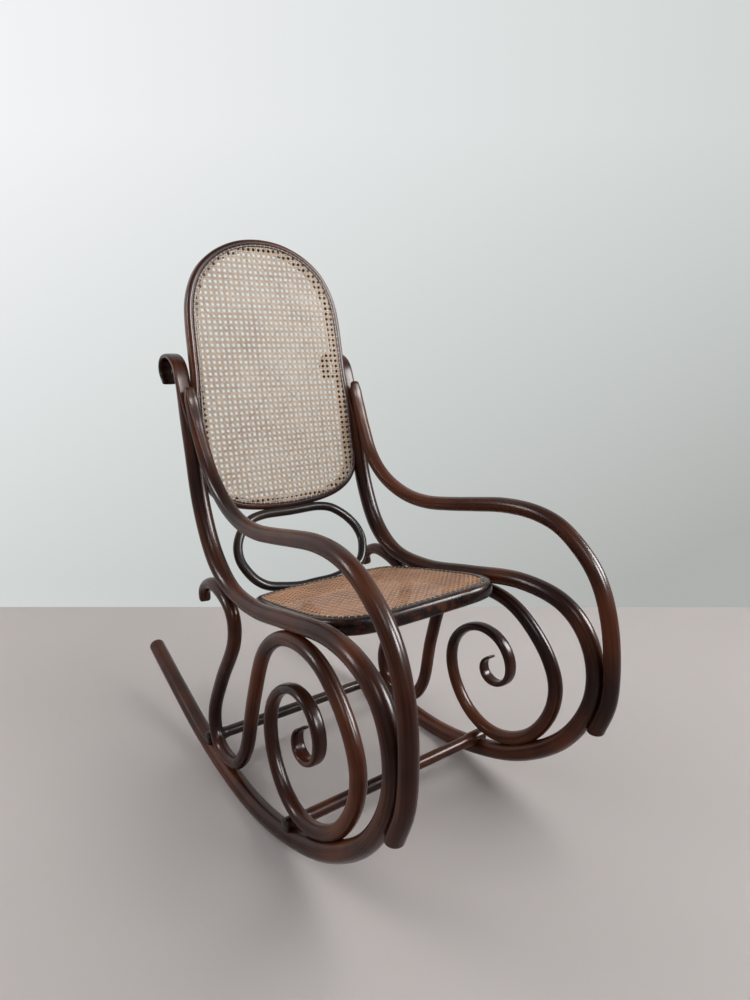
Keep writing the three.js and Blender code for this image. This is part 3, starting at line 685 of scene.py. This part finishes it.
# %% A bead with its loops
def bead(name, node, line, length, inward, place):
    section = [(inward + BINDER_WIDE * (0.5 - 0.5 * np.cos(a)),
                -(BEAD_FLOOR + BEAD_RISE * BINDER_HIGH * np.sin(a))) for a in ARCH]
    edge = swept(name, line, length, section, place)
    count = round(length / MESH_PITCH)
    ahead = unit(np.roll(line, -1, 0) - np.roll(line, 1, 0))
    middle = set_in(line, inward + BINDER_WIDE / 2) + np.array([0, 0, BEAD_FLOOR])
    spots = np.linspace(0, len(line), count, endpoint=False).astype(int)
    made = [loop(middle[i], ahead[i], number) for number, i in enumerate(spots)]
    loops = make_piece(name + "_loops", *laid_together(made), place)
    print(name, "has", count, "loops")
    return dress(edge, node), dress(loops, node)


back_bead, back_loops = bead("back_bead", "back_binder", back_line, back_length,
                             BACK_RIM_WIDE / 2 + GAP, back_place)
seat_bead, seat_loops = bead("seat_bead", "seat_binder", seat_line, seat_length,
                             SEAT_RIM_WIDE / 2 + GAP, seat_place)

# %% [markdown]
# ## Materials: small helpers
#
# A material in Blender is a graph of nodes. Short helpers keep the graphs easy to read: one adds
# a node, with its settings and with what feeds its sockets, one makes a group, and one places a
# group in a material with that material's own values.

# %% Nodes and groups
def feed(tree, node, sockets):
    """Link what comes from another node, and set what is a plain value."""
    for label, source in sockets.items():
        if isinstance(source, bpy.types.NodeSocket):
            tree.links.new(source, node.inputs[label])
        else:
            node.inputs[label].default_value = source


def add(tree, kind, sockets=None, **settings):
    """A new node; kind is Blender's name for it, without ShaderNode in front."""
    node = tree.nodes.new("ShaderNode" + kind)
    for key, value in settings.items():
        setattr(node, key, value)
    feed(tree, node, sockets or {})
    return node


def new_group(name, inputs, outputs):
    """A group with named number inputs and outputs."""
    tree = bpy.data.node_groups.new(name, "ShaderNodeTree")
    for label, value in inputs.items():
        socket = tree.interface.new_socket(label, in_out="INPUT", socket_type="NodeSocketFloat")
        socket.default_value = value
    for label in outputs:
        tree.interface.new_socket(label, in_out="OUTPUT", socket_type="NodeSocketFloat")
    return tree, tree.nodes.new("NodeGroupInput"), tree.nodes.new("NodeGroupOutput")


def place_group(tree, group, **values):
    return add(tree, "Group", values, node_tree=group)


# %% Sums, colour ramps, gloss and ripple
def share_of(tree, value, share, plus=0.0, **settings):
    """One Math node: value times share, plus the rest."""
    return add(tree, "Math", {0: value, 1: share, 2: plus},
               operation="MULTIPLY_ADD", **settings).outputs[0]


def ramp(tree, factor, *stops):
    node = add(tree, "ValToRGB", {0: factor})
    while len(node.color_ramp.elements) < len(stops):
        node.color_ramp.elements.new(0.5)
    for element, (at, colour) in zip(node.color_ramp.elements, stops):
        element.position = at
        element.color = (*colour, 1)
    return node.outputs["Color"]


def vary_roughness(tree, shader, mask, low, high):
    rough = add(tree, "MapRange", {"Value": mask, "To Min": low, "To Max": high})
    feed(tree, shader, {"Roughness": rough.outputs[0]})


def ripple(tree, shader, height, strength, distance):
    bump = add(tree, "Bump", {"Strength": strength, "Distance": distance, "Height": height})
    feed(tree, shader, {"Normal": bump.outputs[0]})


# %% [markdown]
# ## Effects that several materials share
#
# Grain runs along the piece: noise is stretched far along the rod and squeezed across it, read
# from the place in the wood that each piece carries. Patches are the slow changes of tone that
# age and handling leave. Both are groups, built once, and each material sets its own values.

# %% The grain group
grain_group, given, made = new_group(
    "grain", {"Along": 6.0, "Across": 300.0, "Detail": 3.0}, ("Streaks", "Fine"))
where = add(grain_group, "Attribute", attribute_name="grain")
along, across = given.outputs["Along"], given.outputs["Across"]
stretch = add(grain_group, "CombineXYZ", {"X": along, "Y": across, "Z": across})
scaled = add(grain_group, "VectorMath", {0: where.outputs["Vector"], 1: stretch.outputs[0]},
             operation="MULTIPLY")
streaks = add(grain_group, "TexNoise",
              {"Vector": scaled.outputs[0], "Scale": 1.0, "Detail": given.outputs["Detail"]})
finer = add(grain_group, "VectorMath", {0: scaled.outputs[0], 1: (2.2, 4.0, 4.0)},
            operation="MULTIPLY")
fine = add(grain_group, "TexNoise", {"Vector": finer.outputs[0], "Scale": 1.0, "Detail": 2.0})
feed(grain_group, made, {"Streaks": streaks.outputs["Fac"], "Fine": fine.outputs["Fac"]})

# %% The patches group
patch_group, given, made = new_group("patches", {"Size": 8.0, "Sharpness": 1.5}, ("Mask",))
spot = add(patch_group, "TexCoord")
cloud = add(patch_group, "TexNoise",
            {"Vector": spot.outputs["Object"], "Scale": given.outputs["Size"], "Detail": 3.0})
centred = add(patch_group, "Math", {0: cloud.outputs["Fac"], 1: 0.5}, operation="SUBTRACT")
strong = share_of(patch_group, centred.outputs[0], given.outputs["Sharpness"], 0.5, use_clamp=True)
feed(patch_group, made, {"Mask": strong})
print("groups:", grain_group.name, "and", patch_group.name)


# %% [markdown]
# ## Lacquered beech
#
# A brown stain sits unevenly in the wood: streaks along the grain and slow patches shift it from
# near black to red-brown. A thin lacquer lies over it. The Principled shader has both in one: the
# base gives the stained wood and almost no gloss, and the Coat is the lacquer. Coat Roughness
# makes the edges of a highlight soft, and Coat IOR sets how bright it is: 1.30 is below the 1.5
# of fresh varnish, because the lacquer is old and worn. The streaks leave a faint ripple, and
# the finer grain varies the roughness.

# %% A new material, and the lacquer's fixed values
def new_material(name):
    material = bpy.data.materials.new(name)
    material.use_nodes = True
    tree = material.node_tree
    return material, tree, tree.nodes["Principled BSDF"]


LACQUER = {"Specular IOR Level": 0.02, "Coat Weight": 0.9, "Coat Roughness": 0.24,
           "Coat IOR": 1.30}


# %% The wood material
# Shares of the patches and the grain in the tone; more patches to a metre are smaller ones
PATCH_SHARE, GRAIN_SHARE = 0.6, 0.4
USUAL_PATCHES, SMALL_PATCHES = 4.5, 45.0


def painted_shade_start(tree, tone, reach):
    """Painted shade where a rod begins: a darker first stretch, this many metres long."""
    where = add(tree, "Attribute", attribute_name="grain")
    split = add(tree, "SeparateXYZ", {0: where.outputs["Vector"]})
    near = add(tree, "MapRange",
               {"Value": split.outputs["X"], "From Min": 0.3 * reach, "From Max": reach,
                "To Min": -0.3, "To Max": 0.0}, interpolation_type="SMOOTHSTEP")
    return add(tree, "Math", {0: tone, 1: near.outputs[0]}, operation="ADD").outputs[0]


def lacquered_wood(name, dark, middle, warm, patches=USUAL_PATCHES, shade_reach=0.0):
    material, tree, shader = new_material(name)
    wood = place_group(tree, grain_group, Along=5.0, Across=260.0)
    slow = place_group(tree, patch_group, Size=patches, Sharpness=2.0)
    tone = share_of(tree, wood.outputs["Streaks"], GRAIN_SHARE)
    tone = share_of(tree, slow.outputs["Mask"], PATCH_SHARE, tone)
    # Painted shade: the rod's first stretch is darkened, for the shade in a scroll's hollow
    if shade_reach:
        tone = painted_shade_start(tree, tone, shade_reach)
    colour = ramp(tree, tone, (0.36, dark), (0.5, middle), (0.67, warm))
    feed(tree, shader, {"Base Color": colour, **LACQUER})
    vary_roughness(tree, shader, wood.outputs["Fine"], 0.34, 0.46)
    ripple(tree, shader, wood.outputs["Streaks"], 0.05, 0.0004)
    return material


# %% [markdown]
# ## Four woods
#
# Most rods share one stain. In the side frames' scrolls shade is painted in: the first stretch of
# the rod is darker. The oval ring, the rear bar and the bars' ends are nearly black. The seat's
# rim is rubbed in small patches. One function makes them all from three tones, dark, middle and
# warm, and where a wood needs it, with smaller patches or a darker start of painted shade.

# %% The woods and where they go
STAIN = (0.017, 0.0037, 0.0019), (0.040, 0.0091, 0.0036), (0.098, 0.0255, 0.0082)
wood = lacquered_wood("lacquered beech", *STAIN)
# The side frames' scrolls get painted shade: their first 0.16 m is darker
scroll_wood = lacquered_wood("lacquered beech, scroll with painted shade", *STAIN, shade_reach=0.16)
black_wood = lacquered_wood("blackened beech", (0.010, 0.006, 0.006), (0.018, 0.011, 0.010),
                            (0.05, 0.026, 0.018))
worn_wood = lacquered_wood("worn beech", (0.006, 0.0016, 0.0010), (0.024, 0.0056, 0.0028),
                           (0.085, 0.0235, 0.0085), patches=SMALL_PATCHES)
woods = {"oval_ring": black_wood, "rear_bar": black_wood, "seat_rim": worn_wood,
         "bent_side_frame_right": scroll_wood, "bent_side_frame_left": scroll_wood}
for piece in wooden:
    piece.data.materials.append(woods.get(piece.name, wood))
    if piece.name.endswith("_bar"):
        # The end faces look along the bar, and take the second material
        piece.data.materials.append(black_wood)
        for face in piece.data.polygons:
            if abs(face.normal.x) > 0.9:
                face.material_index = 1
print("woods:", {piece.name: piece.data.materials[0].name for piece in wooden})

# %% [markdown]
# ## Cane
#
# Cane keeps a smooth shiny skin and long fine fibres. The back is pale and has yellowed a little;
# the seat has turned brown with use. Each strand has its own tone, because each was split from
# another part of the plant. Along both edges of a strand dirt gathers and shade falls, and both
# are painted into the colour: these dark lines make the weave readable from far away. The mask
# for them comes from where a point lies across its strand, so no picture is needed.

# %% The cane material
# Shares of the strand's own tone, the fibres and the patches in the colour
OWN_SHARE, FIBRE_SHARE, AGE_SHARE = 0.34, 0.3, 0.36
# Where the dark edge starts and is full, as shares of half the strand's width
EDGE_FROM, EDGE_FULL = 0.35, 0.98


def cane(name, dark, middle, light, rough, edge, half_width):
    material, tree, shader = new_material(name)
    fibre = place_group(tree, grain_group, Along=40.0, Across=2200.0)
    slow = place_group(tree, patch_group, Size=11.0, Sharpness=1.6)
    where = add(tree, "Attribute", attribute_name="grain")
    split = add(tree, "SeparateXYZ", {0: where.outputs["Vector"]})
    own = add(tree, "TexWhiteNoise", {"W": split.outputs["Z"]}, noise_dimensions="1D")
    tone = share_of(tree, own.outputs["Value"], OWN_SHARE)
    tone = share_of(tree, fibre.outputs["Streaks"], FIBRE_SHARE, tone)
    tone = share_of(tree, slow.outputs["Mask"], AGE_SHARE, tone)
    colour = ramp(tree, tone, (0.2, dark), (0.5, middle), (0.8, light))
    # Dark lines along both edges of each strand: dirt, and painted shade where the strands meet
    off = add(tree, "Math", {0: split.outputs["Y"]}, operation="ABSOLUTE")
    dirt_and_shade = add(tree, "MapRange",
               {"Value": off.outputs[0], "From Min": EDGE_FROM * half_width,
                "From Max": EDGE_FULL * half_width}, interpolation_type="SMOOTHSTEP")
    # On a Mix node set to colour, the two colours are sockets 6 and 7, and the result is 2
    edged = add(tree, "Mix", {"Factor": dirt_and_shade.outputs[0], 6: colour, 7: (*edge, 1)},
                data_type="RGBA")
    feed(tree, shader, {"Base Color": edged.outputs[2]})
    vary_roughness(tree, shader, fibre.outputs["Fine"], rough - 0.08, rough + 0.08)
    ripple(tree, shader, fibre.outputs["Streaks"], 0.3, 0.0001)
    return material


# %% The three canes and where they go
pale_cane = cane("pale cane", (0.50, 0.33, 0.20), (0.78, 0.58, 0.40), (0.92, 0.77, 0.58), 0.42,
                 (0.07, 0.04, 0.027), BACK_STRIP / 2)
brown_cane = cane("brown cane", (0.15, 0.060, 0.023), (0.44, 0.200, 0.088), (0.72, 0.38, 0.19),
                  0.40, (0.020, 0.008, 0.004), SEAT_STRIP / 2)
edge_cane = cane("edge cane", (0.20, 0.12, 0.08), (0.40, 0.27, 0.19), (0.58, 0.43, 0.32), 0.40,
                 (0.05, 0.025, 0.016), BINDER_WIDE)
for piece, looks in ((back_cane, pale_cane), (back_bead, edge_cane), (back_loops, edge_cane),
                     (seat_cane, brown_cane), (seat_bead, brown_cane), (seat_loops, edge_cane)):
    piece.data.materials.append(looks)
    print(piece.name, "is", looks.name)

# %% [markdown]
# ## Screws
#
# The screws sit in their holes and were lacquered over with the chair. Their solids have the
# right shape already, so they stay as they are and get only a material: dark steel with a little
# of the lacquer's brown and a worn, uneven gloss.

# %% Dark steel for the screws
steel, tree, shader = new_material("lacquered steel")
slow = place_group(tree, patch_group, Size=260.0, Sharpness=2.5)
colour = ramp(tree, slow.outputs["Mask"], (0.1, (0.012, 0.008, 0.006)), (0.9, (0.06, 0.045, 0.035)))
feed(tree, shader, {"Base Color": colour, "Metallic": 0.8})
vary_roughness(tree, shader, slow.outputs["Mask"], 0.25, 0.5)
screws = [o for o in bpy.data.objects if o.type == "MESH" and o.name.startswith("screw_")]
for piece in screws:
    piece.data.materials.clear()
    piece.data.materials.append(steel)
print(len(screws), "screws")

# %% [markdown]
# ## Floor and background
#
# A plain pale floor takes the chair's shadow. Behind the chair stands a wall. The camera, glossy
# surfaces and glass see it glow in pale tones of painted light: bright window light at the upper
# left, falling to grey shade at the lower right. The Light Path node tells these rays from the
# others, which meet matt plaster, so the painted light is mirrored but throws no plain light on
# the chair. Seen from behind, the wall is clear and never hides the chair. The world all round
# works in the same way.

# %% The floor
bpy.ops.mesh.primitive_circle_add(vertices=96, radius=9, fill_type="NGON")
floor = bpy.context.object
floor.name = "floor"
paper, tree, shader = new_material("pale floor")
feed(tree, shader, {"Base Color": (0.52, 0.475, 0.460, 1), "Roughness": 0.8,
                    "Specular IOR Level": 0.2})
floor.data.materials.append(paper)
print("the floor is", round(floor.dimensions.x), "m across")

# %% The wall's shape
HEADING = Vector((0.5940, 0.8045, 0))
WALL_AWAY, WALL_WIDE, WALL_HIGH = 0.860, 9.0, 3.2
aside, foot = Vector((HEADING.y, -HEADING.x, 0)) * WALL_WIDE / 2, HEADING * WALL_AWAY
up = Vector((0, 0, WALL_HIGH))
corners = [foot - aside, foot + aside, foot + aside + up, foot - aside + up]
wall_mesh = bpy.data.meshes.new("wall")
wall_mesh.from_pydata([tuple(c) for c in corners], [], [(0, 1, 2, 3)])
wall = bpy.data.objects.new("wall", wall_mesh)
bpy.context.scene.collection.objects.link(wall)
print("the wall stands", round(WALL_AWAY, 2), "m behind the chair's middle")

# %% What the background shows, and to which rays
LIGHT_TONE, MIDDLE_TONE = (0.93, 0.94, 0.96), (0.66, 0.69, 0.68)
SHADE_TONE, ROOM_TONE = (0.42, 0.435, 0.42), (0.40, 0.41, 0.41)


def seen_rays(tree):
    """1 for rays from the camera, from a glossy surface or through glass, and 0 for others."""
    rays = add(tree, "LightPath")
    seen = add(tree, "Math", {0: rays.outputs["Is Camera Ray"], 1: rays.outputs["Is Glossy Ray"]},
               operation="ADD")
    return add(tree, "Math", {0: seen.outputs[0], 1: rays.outputs["Is Transmission Ray"]},
               operation="ADD", use_clamp=True).outputs[0]


# %% The wall's material
plaster, tree, shader = new_material("pale wall")
feed(tree, shader, {"Base Color": (0.66, 0.68, 0.67, 1), "Roughness": 0.9})
spot = add(tree, "TexCoord")
split = add(tree, "SeparateXYZ", {0: spot.outputs["Object"]})
# Painted light on the wall: its glowing tone falls from window light at the upper left to shade at
# the lower right
sideways = add(tree, "MapRange", {"Value": split.outputs["X"], "From Min": -0.6, "From Max": 1.7})
downward = add(tree, "MapRange",
               {"Value": split.outputs["Z"], "From Min": 1.5, "From Max": 0.1, "To Max": 0.5})
fall = share_of(tree, sideways.outputs[0], 0.6, downward.outputs[0])
tone = ramp(tree, fall, (0.0, LIGHT_TONE), (0.5, MIDDLE_TONE), (1.0, SHADE_TONE))
shown = add(tree, "Emission", {"Color": tone, "Strength": 1.0})
front = add(tree, "MixShader", {0: seen_rays(tree), 1: shader.outputs[0], 2: shown.outputs[0]})
side_of = add(tree, "NewGeometry")
clear = add(tree, "BsdfTransparent")
whole = add(tree, "MixShader",
            {0: side_of.outputs["Backfacing"], 1: front.outputs[0], 2: clear.outputs[0]})
feed(tree, tree.nodes["Material Output"], {"Surface": whole.outputs[0]})
wall_mesh.materials.append(plaster)
print("the wall is", plaster.name)

# %% The world all round
world = bpy.data.worlds.new("soft room")
bpy.context.scene.world = world
world.use_nodes = True
tree = world.node_tree
tree.nodes.clear()
look = add(tree, "TexCoord")
ahead = add(tree, "VectorMath", {0: look.outputs["Generated"], 1: HEADING},
            operation="DOT_PRODUCT")
split = add(tree, "SeparateXYZ", {0: look.outputs["Generated"]})
low_and_ahead = share_of(tree, split.outputs["Z"], -1.2, ahead.outputs["Value"])
tone = ramp(tree, low_and_ahead, (0.0, ROOM_TONE), (0.45, MIDDLE_TONE))
light = add(tree, "Background", {"Color": (0.86, 0.88, 0.90, 1), "Strength": 0.36})
backdrop = add(tree, "Background", {"Color": tone, "Strength": 1.0})
either = add(tree, "MixShader", {0: seen_rays(tree), 1: light.outputs[0], 2: backdrop.outputs[0]})
add(tree, "OutputWorld", {"Surface": either.outputs[0]})
print("the world's even light has strength", round(light.inputs["Strength"].default_value, 2))

# %% [markdown]
# ## Lamps
#
# Two large lamps light the chair softly, as windows would, and aren't mirrored. Four smaller ones
# are only mirrored: hidden from diffuse rays, each draws one highlight along the rods and adds no
# plain light. So the light and the highlights can be set apart from each other.

# %% Six lamps
AIM = Vector((0, 0, 0.5))


def lamp(name, towards, away, wide, high, power, mirrored):
    light = bpy.data.lights.new(name, "AREA")
    light.shape, light.size, light.size_y, light.energy = "RECTANGLE", wide, high, power
    it = bpy.data.objects.new(name, light)
    bpy.context.scene.collection.objects.link(it)
    towards = Vector(towards).normalized()
    it.location = AIM + away * towards
    it.rotation_euler = (-towards).to_track_quat("-Z", "Y").to_euler()
    it.visible_glossy, it.visible_diffuse = mirrored, not mirrored
    print(name, "gives", power, "W,", "mirrored only" if mirrored else "plain light only")


lamp("big softbox", (0.42, -0.44, 0.80), 3.0, 2.0, 2.0, 60, mirrored=False)
lamp("left window", (-0.72, 0.45, 0.52), 2.6, 1.4, 1.6, 28, mirrored=False)
lamp("right glow", (0.70, -0.55, 0.46), 3.2, 1.1, 1.3, 175, mirrored=True)
lamp("front glow", (0.12, -0.84, 0.53), 3.2, 0.7, 1.0, 155, mirrored=True)
lamp("upper glow", (-0.42, -0.56, 0.72), 3.0, 0.7, 0.8, 15, mirrored=True)
lamp("left glow", (-0.78, 0.45, 0.42), 2.8, 0.3, 1.0, 31, mirrored=True)

# %% [markdown]
# ## Camera
#
# The photograph was taken from the chair's front right, about twice as high as the seat, with a
# wide lens. The place, the direction and the lens are set as numbers, so the frame stays the same.

# %% Camera
SPOT, SIGHT_LINE = (-0.7070, -1.0884, 0.8689), Vector((0.579, 0.7845, -0.2222))
sight = bpy.data.cameras.new("camera")
sight.sensor_fit, sight.sensor_height, sight.lens = "VERTICAL", 36, 24.01
camera = bpy.data.objects.new("camera", sight)
bpy.context.scene.collection.objects.link(camera)
camera.location = SPOT
camera.rotation_euler = SIGHT_LINE.to_track_quat("-Z", "Y").to_euler()
bpy.context.scene.camera = camera
bpy.context.scene.view_settings.view_transform = "Standard"
print("the camera stands", round(camera.location.z, 2), "m up")
